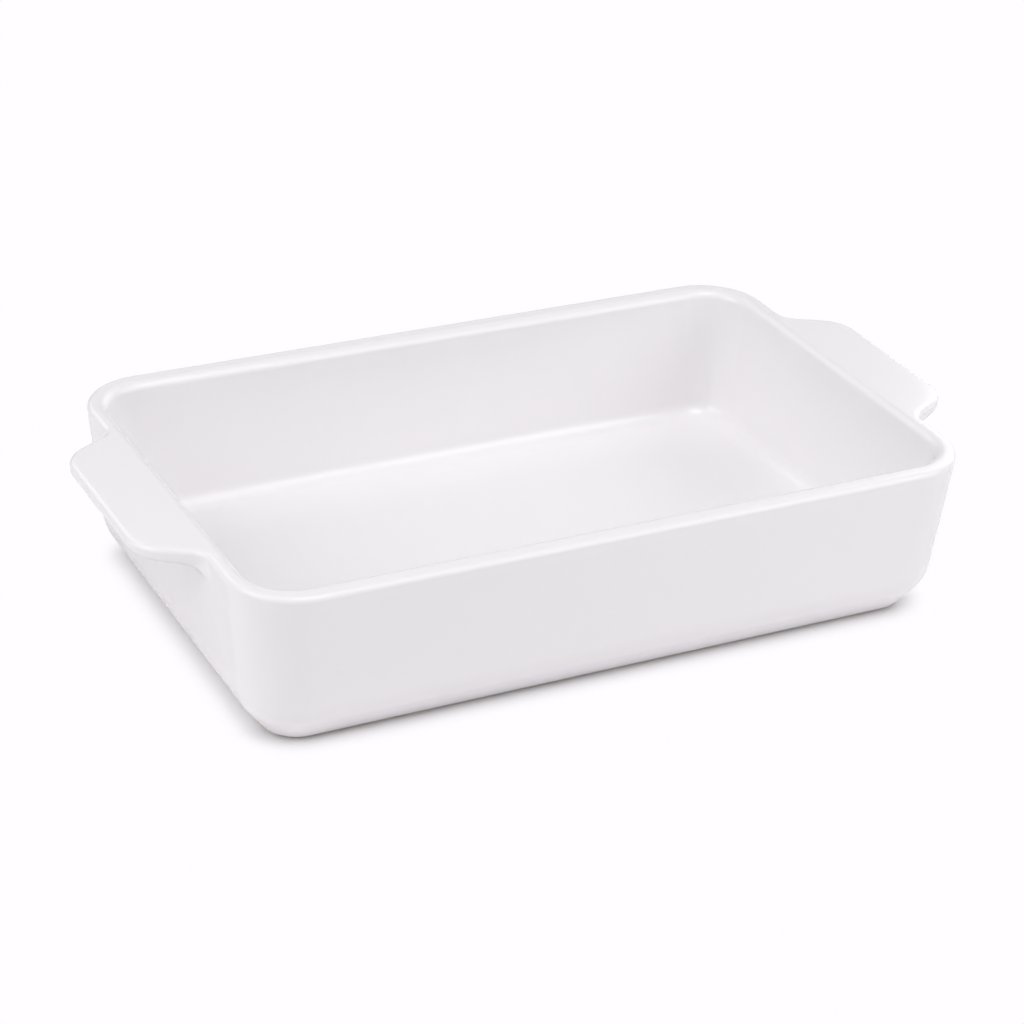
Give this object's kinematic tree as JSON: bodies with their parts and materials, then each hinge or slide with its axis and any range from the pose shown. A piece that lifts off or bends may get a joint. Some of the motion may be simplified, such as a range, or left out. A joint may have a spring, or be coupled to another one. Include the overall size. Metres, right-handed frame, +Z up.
{
  "type": "lasagna dish",
  "caption": "White glazed stoneware oven dish with straight drafted walls, rounded corners, a bare foot ring and a flat lug handle at each end, level with the rim.",
  "frame": {"origin": "Middle of the footprint, on the surface that the dish stands on.", "axes": "+X runs along the dish, from the left handle to the right handle. +Y runs across it, towards its back long wall as pictured. +Z points up, out of the open top."},
  "size_m": [0.3886, 0.218, 0.076],
  "materials": {
    "fired_clay": "bare fired stoneware, fine and matt",
    "white_glaze": "glossy white glaze with a slight waviness"
  },
  "bodies": {
    "root": {"body": "fired_clay", "left_handle": "fired_clay", "right_handle": "fired_clay", "foot_ring": "fired_clay", "outer_glaze": "white_glaze", "liner_glaze": "white_glaze", "underside_glaze": "white_glaze"}
  },
  "joints": []
}
